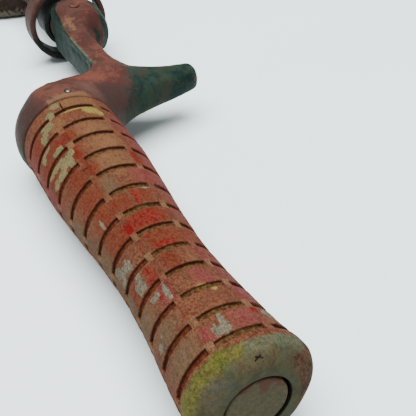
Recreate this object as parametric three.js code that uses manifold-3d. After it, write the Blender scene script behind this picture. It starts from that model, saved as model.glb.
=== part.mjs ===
// Adjustable fire hydrant wrench: a cast eye head with a V jaw, a clamping screw with a lock ring,
// and a cranked handle whose finger spur sits in front of a slotted wooden grip.
// Millimetres. +X runs from the butt to the head, +Z is up as the tool lies flat, +Y is the grip's side.
// Shapes are drawn with the grip's axis on Y = 0, Z = 0 and the butt face at X = 0; the last lines move
// the whole tool so that the origin is under its middle, on the surface that it lies on.

import * as THREE from "three";
import { mergeVertices } from "three/addons/utils/BufferGeometryUtils.js";
import Module from "manifold-3d";

const wasm = await Module();
wasm.setup();

// ---- driving dimensions ----
const CLEARANCE = 0.3; // gap between neighbouring pieces

const GRIP_LENGTH = 128; // butt face to bolster rim
const GRIP_TENON_RADIUS = 14.4; // part of the grip inside the bolster
const GRIP_TENON_LENGTH = 8;
const GRIP_FACETS = 36;
const SLOT_ROWS = 13;
const SLOT_PITCH = 9.37;
const FIRST_SLOT = 9.1; // butt face to the middle of the first row
const SLOT_WIDTH = 2.1;
const SLOT_DEPTH = 1;
const SLOT_BRIDGES = [2, 64.3, 120.2, 181, 241, 302]; // degrees from +Y towards +Z, marked out by hand
const BRIDGE_ARC = 8; // degrees of whole wood between two columns of slots

const PLUG_RADIUS = 8.6;
const PLUG_LENGTH = 7;
const STUD_RADIUS = 4;
const STUD_START = 9.5;
const STUD_END = 143;
const NUT_THICKNESS = 5;
const NUT_ACROSS_FLATS = 12;
const WASHER_THICKNESS = 1.6;
const COUNTERBORE_DEPTH = 17.2;

const BOLSTER_RADIUS = 18;
const BOLSTER_LENGTH = 24;
const SOCKET_DEPTH = 8.6;
const BOLSTER_PIN = { x: 131.6, angle: 97, radius: 1.1, length: 6 };

const SCREW_Y = -30.5; // the screw's axis, parallel to the grip's
const NECK = { left: -21.4, width: 9.4, low: -8, high: 7 };
const HUB = { start: 199, end: 216, radius: 14, low: -8.4 };
const SCREW_RADIUS = 8.7;
const JOURNAL_RADIUS = 6;
const JOURNAL_START = 203;
const CROSS_PIN = { x: 208, radius: 2, halfLength: 12.5 };

const RING = { start: 220.5, width: 9.5, outer: 17.6, inner: 14.7, boss: 10.9, bossLength: 12 };
const SPOKE_THICKNESS = 5;
const LOCK_WASHER = { outer: 10.9, thickness: 1.8 };

const HEAD = { x: 324, radius: 47, noseX: 342, noseRadius: 30, thickness: 36, chamfer: 2.5 };
const EYE = { start: 294, halfWidth: 24, apex: 357, cornerRadius: 6, jawAngle: 108 };
const PAD = { face: 312.5, thickness: 7, radius: 11.5, recess: 2.6 };
const PAD_SCREW = { headRadius: 4.2, headThickness: 1.8, shankRadius: 2.2, shankLength: 7 };

// ---- solids ----

// A closed geometry as a manifold solid.
function solid(geometry) {
  const bare = geometry.index ? geometry.toNonIndexed() : geometry.clone();
  bare.deleteAttribute("normal");
  bare.deleteAttribute("uv");
  const merged = mergeVertices(bare, 1e-3);
  return new wasm.Manifold(
    new wasm.Mesh({
      numProp: 3,
      vertProperties: merged.attributes.position.array,
      triVerts: new Uint32Array(merged.index.array),
    }),
  );
}

// A manifold solid as a flat-shaded geometry.
function geometryOf(made) {
  const mesh = made.getMesh();
  const corners = new Float32Array(mesh.numVert * 3);
  for (let i = 0; i < mesh.numVert; i++) {
    corners.set(mesh.vertProperties.subarray(i * mesh.numProp, i * mesh.numProp + 3), i * 3);
  }
  const geometry = new THREE.BufferGeometry();
  geometry.setAttribute("position", new THREE.BufferAttribute(corners, 3));
  geometry.setIndex(new THREE.BufferAttribute(new Uint32Array(mesh.triVerts), 1));
  const flat = geometry.toNonIndexed();
  flat.computeVertexNormals();
  return flat;
}

const join = (first, ...others) => others.reduce((sum, other) => sum.add(other), first);
const cut = (first, ...others) => others.reduce((rest, other) => rest.subtract(other), first);

// A turned piece about the X direction. The profile is [x, radius] pairs in order of rising x.
function turned(profile, facets, y = 0) {
  const points = profile.map(([x, radius]) => new THREE.Vector2(radius, x));
  const shape = new THREE.LatheGeometry(points, facets);
  shape.rotateZ(-Math.PI / 2);
  shape.translate(0, y, 0);
  return solid(shape);
}

function rod(start, end, radius, facets, y = 0) {
  return turned([[start, 0], [start, radius], [end, radius], [end, 0]], facets, y);
}

function tube(start, end, inner, outer, facets, y = 0) {
  const profile = [[start, inner], [start, outer], [end, outer], [end, inner], [start, inner]];
  return turned(profile, facets, y);
}

function block(x0, x1, y0, y1, z0, z1) {
  const box = new THREE.BoxGeometry(x1 - x0, y1 - y0, z1 - z0);
  box.translate((x0 + x1) / 2, (y0 + y1) / 2, (z0 + z1) / 2);
  return solid(box);
}

// A skin over a row of rings, each with the same number of points, closed by a fan at each end.
// Rings that run the wrong way round give an inside-out skin, so those are turned round.
function loft(rings) {
  const count = rings[0].length;
  const corners = rings.flat();
  const faces = [];
  for (let r = 0; r + 1 < rings.length; r++) {
    for (let i = 0; i < count; i++) {
      const a = r * count + i;
      const b = r * count + ((i + 1) % count);
      faces.push(a, b, a + count, b, b + count, a + count);
    }
  }
  for (const [ring, order] of [[0, [0, 2, 1]], [rings.length - 1, [0, 1, 2]]]) {
    const middle = new THREE.Vector3();
    rings[ring].forEach((point) => middle.addScaledVector(point, 1 / count));
    const hub = corners.push(middle) - 1;
    for (let i = 0; i < count; i++) {
      const fan = [hub, ring * count + i, ring * count + ((i + 1) % count)];
      faces.push(fan[order[0]], fan[order[1]], fan[order[2]]);
    }
  }
  const geometry = new THREE.BufferGeometry().setFromPoints(corners);
  geometry.setIndex(faces);
  const made = solid(geometry);
  return made.volume() > 0 ? made : loft(rings.map((ring) => [...ring].reverse()));
}

// A rounded-box section with half sizes a and b along the directions u and v.
function section(middle, u, v, a, b, squareness, count) {
  const power = 2 / squareness;
  return Array.from({ length: count }, (_, i) => {
    const turn = (i / count) * 2 * Math.PI;
    const across = a * Math.sign(Math.cos(turn)) * Math.abs(Math.cos(turn)) ** power;
    const up = b * Math.sign(Math.sin(turn)) * Math.abs(Math.sin(turn)) ** power;
    return middle.clone().addScaledVector(u, across).addScaledVector(v, up);
  });
}

const X_DIRECTION = new THREE.Vector3(1, 0, 0);
const Y_DIRECTION = new THREE.Vector3(0, 1, 0);
const Z_DIRECTION = new THREE.Vector3(0, 0, 1);

// ---- the grip and what holds it ----

const gripOutline = new THREE.SplineCurve([
  new THREE.Vector2(5, 16.6),
  new THREE.Vector2(17, 15.7),
  new THREE.Vector2(34, 14.1),
  new THREE.Vector2(51, 13.4),
  new THREE.Vector2(68, 14.3),
  new THREE.Vector2(85, 15.9),
  new THREE.Vector2(102, 17.2),
  new THREE.Vector2(GRIP_LENGTH, 17.1),
]);

function gripRadius(x) {
  const points = gripOutline.getPoints(60);
  const after = Math.max(1, points.findIndex((point) => point.x >= x));
  const [low, high] = [points[after - 1], points[after]];
  return low.y + ((high.y - low.y) * (x - low.x)) / (high.x - low.x);
}

// One slot's cutter: a curved bar that follows the grip's round between two angles in degrees.
function slotCutter(x, startAngle, endAngle) {
  const steps = 5;
  const floor = gripRadius(x) - SLOT_DEPTH;
  const outside = gripRadius(x) + 2;
  const rings = [];
  for (let i = 0; i <= steps; i++) {
    const turn = THREE.MathUtils.degToRad(startAngle + ((endAngle - startAngle) * i) / steps);
    const at = (radius, dx) =>
      new THREE.Vector3(x + dx, radius * Math.cos(turn), radius * Math.sin(turn));
    const half = SLOT_WIDTH / 2;
    rings.push([at(floor, -half), at(outside, -half), at(outside, half), at(floor, half)]);
  }
  return loft(rings);
}

function makeGrip() {
  const rounding = [[0, 0], [0, 12.2], [1.2, 14.6], [2.8, 15.9]];
  const body = gripOutline.getPoints(16).map((point) => [point.x, point.y]);
  const tenon = [
    [GRIP_LENGTH, GRIP_TENON_RADIUS],
    [GRIP_LENGTH + GRIP_TENON_LENGTH, GRIP_TENON_RADIUS],
    [GRIP_LENGTH + GRIP_TENON_LENGTH, 0],
  ];
  const blank = turned([...rounding, ...body, ...tenon], GRIP_FACETS);
  const cutters = [];
  for (let row = 0; row < SLOT_ROWS; row++) {
    SLOT_BRIDGES.forEach((bridge, column) => {
      const next = SLOT_BRIDGES[column + 1] ?? SLOT_BRIDGES[0] + 360;
      const x = FIRST_SLOT + row * SLOT_PITCH;
      cutters.push(slotCutter(x, bridge + BRIDGE_ARC / 2, next - BRIDGE_ARC / 2));
    });
  }
  const bore = rod(-1, GRIP_LENGTH + GRIP_TENON_LENGTH + 1, STUD_RADIUS + CLEARANCE, 24);
  const counterbore = rod(-1, COUNTERBORE_DEPTH, PLUG_RADIUS + CLEARANCE, 36);
  return cut(blank, bore, counterbore, pinHole(), ...cutters);
}

// The bolster pin's hole, which runs through the bolster's skirt into the grip's tenon.
function radialRod(pin, inner, outer, radius) {
  const made = new THREE.CylinderGeometry(radius, radius, outer - inner, 12);
  made.translate(0, (inner + outer) / 2, 0);
  made.rotateX(THREE.MathUtils.degToRad(pin.angle));
  made.translate(pin.x, 0, 0);
  return solid(made);
}

function pinHole() {
  const inner = BOLSTER_RADIUS - BOLSTER_PIN.length - CLEARANCE;
  return radialRod(BOLSTER_PIN, inner, BOLSTER_RADIUS + 3, BOLSTER_PIN.radius + CLEARANCE);
}

function makeBolsterPin() {
  const outer = BOLSTER_RADIUS - 0.2;
  return radialRod(BOLSTER_PIN, BOLSTER_RADIUS - BOLSTER_PIN.length, outer, BOLSTER_PIN.radius);
}

function makePlug() {
  const chamfer = 0.6;
  return turned(
    [
      [0.2, 0],
      [0.2, PLUG_RADIUS - chamfer],
      [0.2 + chamfer, PLUG_RADIUS],
      [PLUG_LENGTH, PLUG_RADIUS],
      [PLUG_LENGTH, 0],
    ],
    36,
  );
}

const makeStud = () => rod(STUD_START, STUD_END, STUD_RADIUS, 24);

function makeStudWasher() {
  const start = COUNTERBORE_DEPTH - CLEARANCE - WASHER_THICKNESS;
  return tube(start, start + WASHER_THICKNESS, STUD_RADIUS + CLEARANCE, PLUG_RADIUS - 0.4, 24);
}

function makeStudNut() {
  const end = COUNTERBORE_DEPTH - 2 * CLEARANCE - WASHER_THICKNESS;
  const cornerRadius = NUT_ACROSS_FLATS / 2 / Math.cos(Math.PI / 6);
  const hexagon = rod(end - NUT_THICKNESS, end, cornerRadius, 6);
  return cut(hexagon, rod(0, GRIP_LENGTH, STUD_RADIUS + CLEARANCE, 24));
}

// ---- the cranked handle casting ----

function makeBolster() {
  return turned(
    [
      [GRIP_LENGTH + CLEARANCE, 0],
      [GRIP_LENGTH + CLEARANCE, BOLSTER_RADIUS - 0.7],
      [GRIP_LENGTH + 1.5, BOLSTER_RADIUS],
      [GRIP_LENGTH + 8, BOLSTER_RADIUS],
      [GRIP_LENGTH + 13, BOLSTER_RADIUS - 1.6],
      [GRIP_LENGTH + 18, BOLSTER_RADIUS - 5],
      [GRIP_LENGTH + 22, BOLSTER_RADIUS - 9.5],
      [GRIP_LENGTH + BOLSTER_LENGTH, 0],
    ],
    40,
  );
}

// The shoulder and spur are one fin: it leaves the bolster sideways and ends in a blunt finger spur.
// Each station is [y, rear edge x, front edge x, half height]; the stations between are interpolated.
const FIN_STATIONS = [
  [7, 129, 150, 13],
  [0, 129, 157.5, 13.2],
  [-8, 129.5, 160.5, 12],
  [-15, 131, 161.5, 10.6],
  [-20, 133, 165, 9.6],
  [-25, 136, 171, 8.6],
  [-30, 138.4, 167, 7.5],
  [-35, 140.2, 162.5, 6.6],
  [-42, 142, 159.2, 5.9],
  [-49.5, 143.7, 156.6, 5.2],
  [-54, 146, 154.8, 4.6],
  [-57.4, 149.6, 152.4, 2.6],
];

function makeFin() {
  const rings = FIN_STATIONS.map(([y, rear, front, halfHeight]) => {
    const middle = new THREE.Vector3((rear + front) / 2, y, 0);
    return section(middle, X_DIRECTION, Z_DIRECTION, (front - rear) / 2, halfHeight, 2.3, 20);
  });
  return loft(rings);
}

// The neck is an upright bar from the shoulder to the hub.
function makeNeck() {
  const { left, width, low, high } = NECK;
  const rings = [150, 180, HUB.start + 6].map((x) => {
    const middle = new THREE.Vector3(x, left - width / 2, (low + high) / 2);
    return section(middle, Y_DIRECTION, Z_DIRECTION, width / 2, (high - low) / 2, 6, 24);
  });
  return loft(rings);
}

// The hub is a round boss about the screw's axis with a rim at its far end. It is planed flush with
// the neck's left face, and its underside is planed too.
function makeHub() {
  const { start, end, radius } = HUB;
  const boss = turned(
    [
      [start, 0],
      [start + 0.6, radius * 0.4],
      [start + 2.2, radius * 0.7],
      [start + 5, radius * 0.92],
      [start + 7.5, radius * 0.97],
      [start + 10, radius * 0.9],
      [start + 11.5, radius * 0.97],
      [start + 13, radius],
      [end - 1.2, radius],
      [end, radius - 1.2],
      [end, 0],
    ],
    40,
    SCREW_Y,
  );
  const left = block(start - 10, end + 1, NECK.left, 10, -30, 30);
  const under = block(start - 10, end + 1, -60, 10, -30, HUB.low);
  return cut(boss, left, under);
}

function makeHandleCasting() {
  const whole = join(makeBolster(), makeFin(), makeNeck(), makeHub());
  const socketEnd = GRIP_LENGTH + SOCKET_DEPTH;
  const socket = rod(GRIP_LENGTH - 20, socketEnd, GRIP_TENON_RADIUS + CLEARANCE, 36);
  const studHole = rod(GRIP_LENGTH, STUD_END + CLEARANCE, STUD_RADIUS + CLEARANCE, 24);
  const journalHole = rod(
    JOURNAL_START - CLEARANCE,
    HUB.end + 5,
    JOURNAL_RADIUS + CLEARANCE,
    24,
    SCREW_Y,
  );
  return cut(whole, socket, studHole, pinHole(), journalHole, crossPinHole());
}

// ---- the screw and what is on it ----

function uprightRod(x, y, radius, halfLength, facets) {
  const made = new THREE.CylinderGeometry(radius, radius, 2 * halfLength, facets);
  made.rotateX(Math.PI / 2);
  made.translate(x, y, 0);
  return solid(made);
}

const crossPinHole = () =>
  uprightRod(CROSS_PIN.x, SCREW_Y, CROSS_PIN.radius + CLEARANCE, HUB.radius + 3, 16);

// The cross pin's top stands almost level with the hub; its foot is level with the planed underside.
function makeCrossPin() {
  const whole = uprightRod(CROSS_PIN.x, SCREW_Y, CROSS_PIN.radius, CROSS_PIN.halfLength, 16);
  return cut(whole, block(0, HEAD.x, -60, 0, -30, HUB.low + CLEARANCE));
}

function makeScrew() {
  const tip = PAD.face - PAD.thickness - CLEARANCE;
  const body = turned(
    [
      [JOURNAL_START, 0],
      [JOURNAL_START, JOURNAL_RADIUS],
      [HUB.end + CLEARANCE, JOURNAL_RADIUS],
      [HUB.end + CLEARANCE, SCREW_RADIUS],
      [tip - 1.2, SCREW_RADIUS],
      [tip, SCREW_RADIUS - 1.2],
      [tip, 0],
    ],
    32,
    SCREW_Y,
  );
  const reach = PAD_SCREW.shankLength + 1;
  const tapped = rod(tip - reach, tip + 1, PAD_SCREW.shankRadius + CLEARANCE, 16, SCREW_Y);
  return cut(body, tapped, crossPinHole());
}

function makeLockRing() {
  const { start, width, outer, inner, boss, bossLength } = RING;
  const edge = 1.1;
  const rim = turned(
    [
      [start, inner],
      [start, outer - edge],
      [start + edge, outer],
      [start + width - edge, outer],
      [start + width, outer - edge],
      [start + width, inner],
      [start, inner],
    ],
    44,
    SCREW_Y,
  );
  const spokeHalf = SPOKE_THICKNESS / 2;
  const spokes = block(
    start + 2,
    start + width - 0.5,
    SCREW_Y - spokeHalf,
    SCREW_Y + spokeHalf,
    -inner - 1,
    inner + 1,
  );
  const centre = rod(start, start + bossLength, boss, 32, SCREW_Y);
  const bore = rod(start - 5, start + bossLength + 5, SCREW_RADIUS + CLEARANCE, 32, SCREW_Y);
  return cut(join(rim, spokes, centre), bore);
}

function makeLockWasher() {
  const start = RING.start + RING.bossLength + CLEARANCE;
  const end = start + LOCK_WASHER.thickness;
  return tube(start, end, SCREW_RADIUS + CLEARANCE, LOCK_WASHER.outer, 32, SCREW_Y);
}

// The swivel pad presses on the nut; a screw in its recess holds it on the end of the clamping screw.
function makePad() {
  const start = PAD.face - PAD.thickness;
  const body = turned(
    [
      [start, 0],
      [start, PAD.radius - 1],
      [start + 1, PAD.radius],
      [PAD.face - 1.2, PAD.radius],
      [PAD.face, PAD.radius - 1.2],
      [PAD.face, 0],
    ],
    32,
    SCREW_Y,
  );
  const hole = rod(start - 1, PAD.face + 1, PAD_SCREW.shankRadius + CLEARANCE, 16, SCREW_Y);
  const recessStart = PAD.face - PAD.recess;
  const recess = rod(recessStart, PAD.face + 1, PAD_SCREW.headRadius + CLEARANCE, 24, SCREW_Y);
  return cut(body, hole, recess);
}

function makePadScrew() {
  const headStart = PAD.face - PAD.recess + CLEARANCE;
  const shankStart = PAD.face - PAD.thickness - PAD_SCREW.shankLength;
  const { headRadius, headThickness, shankRadius } = PAD_SCREW;
  return turned(
    [
      [shankStart, 0],
      [shankStart, shankRadius],
      [headStart, shankRadius],
      [headStart, headRadius],
      [headStart + headThickness, headRadius],
      [headStart + headThickness, 0],
    ],
    20,
    SCREW_Y,
  );
}

// ---- the eye head ----

// A pear outline: a wide arc at the screw, straight sides, and a smaller arc round the jaw.
function headOutline() {
  const { x, radius, noseX, noseRadius } = HEAD;
  const lean = Math.acos((radius - noseRadius) / (noseX - x));
  const shape = new THREE.Shape();
  shape.absarc(x, SCREW_Y, radius, lean, 2 * Math.PI - lean, false);
  shape.absarc(noseX, SCREW_Y, noseRadius, -lean, lean, false);
  return shape;
}

// The eye: a rounded square that ends in a V for the nut's corner.
function eyeOutline() {
  const { start, halfWidth, apex, cornerRadius, jawAngle } = EYE;
  const jawStart = apex - halfWidth / Math.tan(THREE.MathUtils.degToRad(jawAngle / 2));
  const [low, high] = [SCREW_Y - halfWidth, SCREW_Y + halfWidth];
  const shape = new THREE.Shape();
  shape.moveTo(apex, SCREW_Y);
  shape.lineTo(jawStart, high);
  shape.lineTo(start + cornerRadius, high);
  shape.absarc(start + cornerRadius, high - cornerRadius, cornerRadius, Math.PI / 2, Math.PI, false);
  shape.lineTo(start, low + cornerRadius);
  shape.absarc(start + cornerRadius, low + cornerRadius, cornerRadius, Math.PI, 1.5 * Math.PI, false);
  shape.lineTo(jawStart, low);
  shape.closePath();
  return shape;
}

function makeHead() {
  const { thickness, chamfer } = HEAD;
  const outside = new THREE.ExtrudeGeometry(headOutline(), {
    depth: thickness - 2 * chamfer,
    bevelThickness: chamfer,
    bevelSize: chamfer,
    bevelOffset: -chamfer,
    bevelSegments: 1,
    curveSegments: 20,
  });
  outside.translate(0, 0, chamfer - thickness / 2);
  const eye = new THREE.ExtrudeGeometry(eyeOutline(), {
    depth: thickness + 10,
    bevelEnabled: false,
    curveSegments: 5,
  });
  eye.translate(0, 0, -thickness / 2 - 5);
  const screwHole = rod(HEAD.x - HEAD.radius - 5, EYE.start + 5, SCREW_RADIUS + CLEARANCE, 32, SCREW_Y);
  return cut(solid(outside), solid(eye), screwHole);
}

// ---- materials ----

const finish = (color, roughness, metalness) =>
  new THREE.MeshStandardMaterial({ color, roughness, metalness });

const pieces = [
  ["grip", makeGrip(), finish(0xb5705a, 0.8, 0)],
  ["butt_plug", makePlug(), finish(0x8d8c74, 0.8, 0)],
  ["grip_stud", makeStud(), finish(0x77736c, 0.45, 0.9)],
  ["stud_nut", makeStudNut(), finish(0x7d7972, 0.45, 0.9)],
  ["stud_washer", makeStudWasher(), finish(0x8a867f, 0.4, 0.9)],
  ["bolster_pin", makeBolsterPin(), finish(0xc9c6be, 0.35, 0.9)],
  ["handle_casting", makeHandleCasting(), finish(0x6a3f38, 0.55, 0.3)],
  ["hub_cross_pin", makeCrossPin(), finish(0x55483f, 0.5, 0.8)],
  ["clamp_screw", makeScrew(), finish(0x4a382c, 0.6, 0.7)],
  ["lock_ring", makeLockRing(), finish(0x7a4a42, 0.55, 0.4)],
  ["lock_washer", makeLockWasher(), finish(0x5b5048, 0.5, 0.8)],
  ["pressure_pad", makePad(), finish(0x5a4c40, 0.5, 0.8)],
  ["pad_screw", makePadScrew(), finish(0x86817a, 0.4, 0.9)],
  ["head_casting", makeHead(), finish(0x43322b, 0.65, 0.5)],
];

const wrench = new THREE.Group();
for (const [name, made, material] of pieces) {
  const mesh = new THREE.Mesh(geometryOf(made), material);
  mesh.name = name;
  wrench.add(mesh);
}

// The origin is under the middle of the whole tool, on the surface that it lies on.
const overallLength = HEAD.noseX + HEAD.noseRadius;
const leftmost = BOLSTER_RADIUS;
const rightmost = SCREW_Y - HEAD.radius;
wrench.position.set(-overallLength / 2, -(leftmost + rightmost) / 2, HEAD.thickness / 2);

export default wrench;
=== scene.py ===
"""Looks of the adjustable fire hydrant wrench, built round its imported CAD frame. Units are metres.

+X runs from the butt to the head, +Z is up, and the tool lies on z = 0.
"""

import math

import bmesh
import bpy
import numpy as np
from mathutils import Matrix, Vector, noise


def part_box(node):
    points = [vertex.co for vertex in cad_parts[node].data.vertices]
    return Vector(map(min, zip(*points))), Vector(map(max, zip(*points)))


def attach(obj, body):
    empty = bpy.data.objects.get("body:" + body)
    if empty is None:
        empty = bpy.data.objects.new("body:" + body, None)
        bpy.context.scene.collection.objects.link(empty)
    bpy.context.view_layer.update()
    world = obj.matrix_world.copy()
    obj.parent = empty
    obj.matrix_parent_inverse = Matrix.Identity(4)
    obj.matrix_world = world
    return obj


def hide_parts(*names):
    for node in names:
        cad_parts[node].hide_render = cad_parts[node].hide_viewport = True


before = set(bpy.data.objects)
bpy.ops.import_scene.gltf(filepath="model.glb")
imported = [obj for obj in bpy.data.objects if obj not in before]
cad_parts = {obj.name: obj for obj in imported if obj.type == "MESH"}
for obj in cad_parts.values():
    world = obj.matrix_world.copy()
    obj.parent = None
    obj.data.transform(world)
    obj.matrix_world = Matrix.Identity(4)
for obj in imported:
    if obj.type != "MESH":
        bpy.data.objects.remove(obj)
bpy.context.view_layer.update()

MM = 0.001
SCREW_PITCH = 5 * MM


# ---- places, worked out from the frame ----

GRIP_LOW, GRIP_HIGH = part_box("grip")
CASTING_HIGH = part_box("handle_casting")[1]
SCREW_LOW, SCREW_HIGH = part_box("clamp_screw")
PLUG_LOW, PLUG_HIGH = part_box("butt_plug")
PAD_LOW, PAD_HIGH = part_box("pressure_pad")

GRIP_AXIS = Vector((0, (GRIP_LOW.y + GRIP_HIGH.y) / 2, (GRIP_LOW.z + GRIP_HIGH.z) / 2))
SCREW_AXIS = Vector((0, (SCREW_LOW.y + SCREW_HIGH.y) / 2, (SCREW_LOW.z + SCREW_HIGH.z) / 2))
BUTT_MIDDLE = np.array([GRIP_LOW.x, GRIP_AXIS.y, GRIP_AXIS.z])


# ---- meshes ----


def new_object(name, data):
    made = bpy.data.objects.new(name, data)
    bpy.context.scene.collection.objects.link(made)
    return made


def make_object(name, vertices, faces):
    mesh = bpy.data.meshes.new(name)
    mesh.from_pydata([tuple(v) for v in vertices], [], [tuple(f) for f in faces])
    mesh.update()
    mesh.polygons.foreach_set("use_smooth", [True] * len(mesh.polygons))
    return new_object(name, mesh)


def grid_faces(rows, columns, rows_close=False):
    """Quads over a grid whose columns always wrap round, and whose rows wrap too if rows_close."""
    r = np.arange(rows if rows_close else rows - 1)
    c = np.arange(columns)
    r, c = np.meshgrid(r, c, indexing="ij")
    after_r = (r + 1) % rows
    after_c = (c + 1) % columns
    corners = [r * columns + c, r * columns + after_c, after_r * columns + after_c, after_r * columns + c]
    return np.stack([corner.ravel() for corner in corners], axis=1)


def close_ends(vertices, faces, columns, axis, start, end):
    """Closes the first and last rings of a grid, each with a fan of faces round a new point on the axis."""
    last = len(vertices) - columns
    for first, x in ((0, start), (last, end)):
        vertices.append((x, axis.y, axis.z))
        faces += [(len(vertices) - 1, first + i, first + (i + 1) % columns) for i in range(columns)]


def revolve(name, profile, axis, segments=96):
    """A turned solid about an X axis. profile is [x, radius] pairs in metres; radius 0 closes an end,
    and a profile that never reaches 0 closes on itself."""
    open_ends = profile[0][1] == 0
    rings = profile[1:-1] if open_ends else profile
    turn = np.arange(segments) * 2 * math.pi / segments
    vertices = []
    for x, radius in rings:
        vertices += [(x, axis.y + radius * math.cos(t), axis.z + radius * math.sin(t)) for t in turn]
    faces = [tuple(f) for f in grid_faces(len(rings), segments, rows_close=not open_ends)]
    if open_ends:
        close_ends(vertices, faces, segments, axis, profile[0][0], profile[-1][0])
    made = make_object(name, vertices, faces)
    face_outwards(made)
    return made


def face_outwards(obj):
    """Turns every face of a closed mesh to point outwards."""
    shape = bmesh.new()
    shape.from_mesh(obj.data)
    bmesh.ops.recalc_face_normals(shape, faces=shape.faces)
    shape.to_mesh(obj.data)
    shape.free()


def rounded(points, radius, steps=4):
    """The [x, r] profile with every corner but its two ends rounded off."""
    out = [points[0]]
    for before, corner, after in zip(points, points[1:], points[2:]):
        corner_v = np.array(corner, float)
        back = np.array(before, float) - corner_v
        ahead = np.array(after, float) - corner_v
        reach = min(radius, np.linalg.norm(back) * 0.45, np.linalg.norm(ahead) * 0.45)
        start = corner_v + back / np.linalg.norm(back) * reach
        end = corner_v + ahead / np.linalg.norm(ahead) * reach
        for i in range(steps + 1):
            t = i / steps
            out.append(list((1 - t) ** 2 * start + 2 * t * (1 - t) * corner_v + t * t * end))
    return out + [points[-1]]


def sharpen(obj, degrees):
    """Smooth shading that breaks at edges sharper than this."""
    mesh = obj.data
    mesh.polygons.foreach_set("use_smooth", [True] * len(mesh.polygons))
    mesh.set_sharp_from_angle(angle=math.radians(degrees))


def apply_modifiers(obj):
    made = bpy.data.meshes.new_from_object(obj.evaluated_get(bpy.context.evaluated_depsgraph_get()))
    obj.modifiers.clear()
    obj.data = made
    return obj


def remeshed(name, node, voxel):
    """An even skin over a CAD node's shape."""
    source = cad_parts[node].data
    faces = [list(face.vertices) for face in source.polygons]
    made = make_object(name, [v.co.copy() for v in source.vertices], faces)
    modifier = made.modifiers.new("skin", "REMESH")
    modifier.mode = "VOXEL"
    modifier.voxel_size = voxel
    modifier.use_smooth_shade = True
    return apply_modifiers(made)


def positions(obj):
    out = np.empty(len(obj.data.vertices) * 3)
    obj.data.vertices.foreach_get("co", out)
    return out.reshape(-1, 3)


def normals(obj):
    out = np.empty(len(obj.data.vertices) * 3)
    obj.data.vertices.foreach_get("normal", out)
    return out.reshape(-1, 3)


def move_to(obj, points):
    obj.data.vertices.foreach_set("co", points.ravel())
    obj.data.update()


def relax(obj, rounds, weight=1.0):
    """Evens the mesh out: each point moves towards the middle of its neighbours, by weight."""
    mesh = obj.data
    edges = np.empty(len(mesh.edges) * 2, dtype=np.int64)
    mesh.edges.foreach_get("vertices", edges)
    edges = edges.reshape(-1, 2)
    ends = np.concatenate([edges[:, 0], edges[:, 1]])
    others = np.concatenate([edges[:, 1], edges[:, 0]])
    count = np.maximum(1, np.bincount(ends, minlength=len(mesh.vertices)))
    points = positions(obj)
    share = np.asarray(weight) * np.ones(len(points))
    for _ in range(rounds):
        middle = np.stack(
            [np.bincount(ends, points[others, k], minlength=len(points)) / count for k in range(3)], axis=1
        )
        points += (middle - points) * share[:, None] * 0.5
    move_to(obj, points)


def noise_at(points, scale, seed):
    """Fractal noise, about -1 to 1, at each point."""
    shift = Vector((seed, 2.7 * seed, -1.3 * seed))
    return np.array([noise.fractal(Vector(p) * scale + shift, 1.0, 2.0, 3) for p in points])


def store(obj, name, values):
    attribute = obj.data.attributes.new(name, "FLOAT", "POINT")
    attribute.data.foreach_set("value", np.asarray(values, dtype=np.float32))


def smoothstep(low, high, value):
    t = np.clip((np.asarray(value, float) - low) / (high - low), 0, 1)
    return t * t * (3 - 2 * t)


# ---- materials ----

# The studio's light is strong, so every paint colour with three numbers is multiplied by this.
TONE = 0.31


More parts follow.
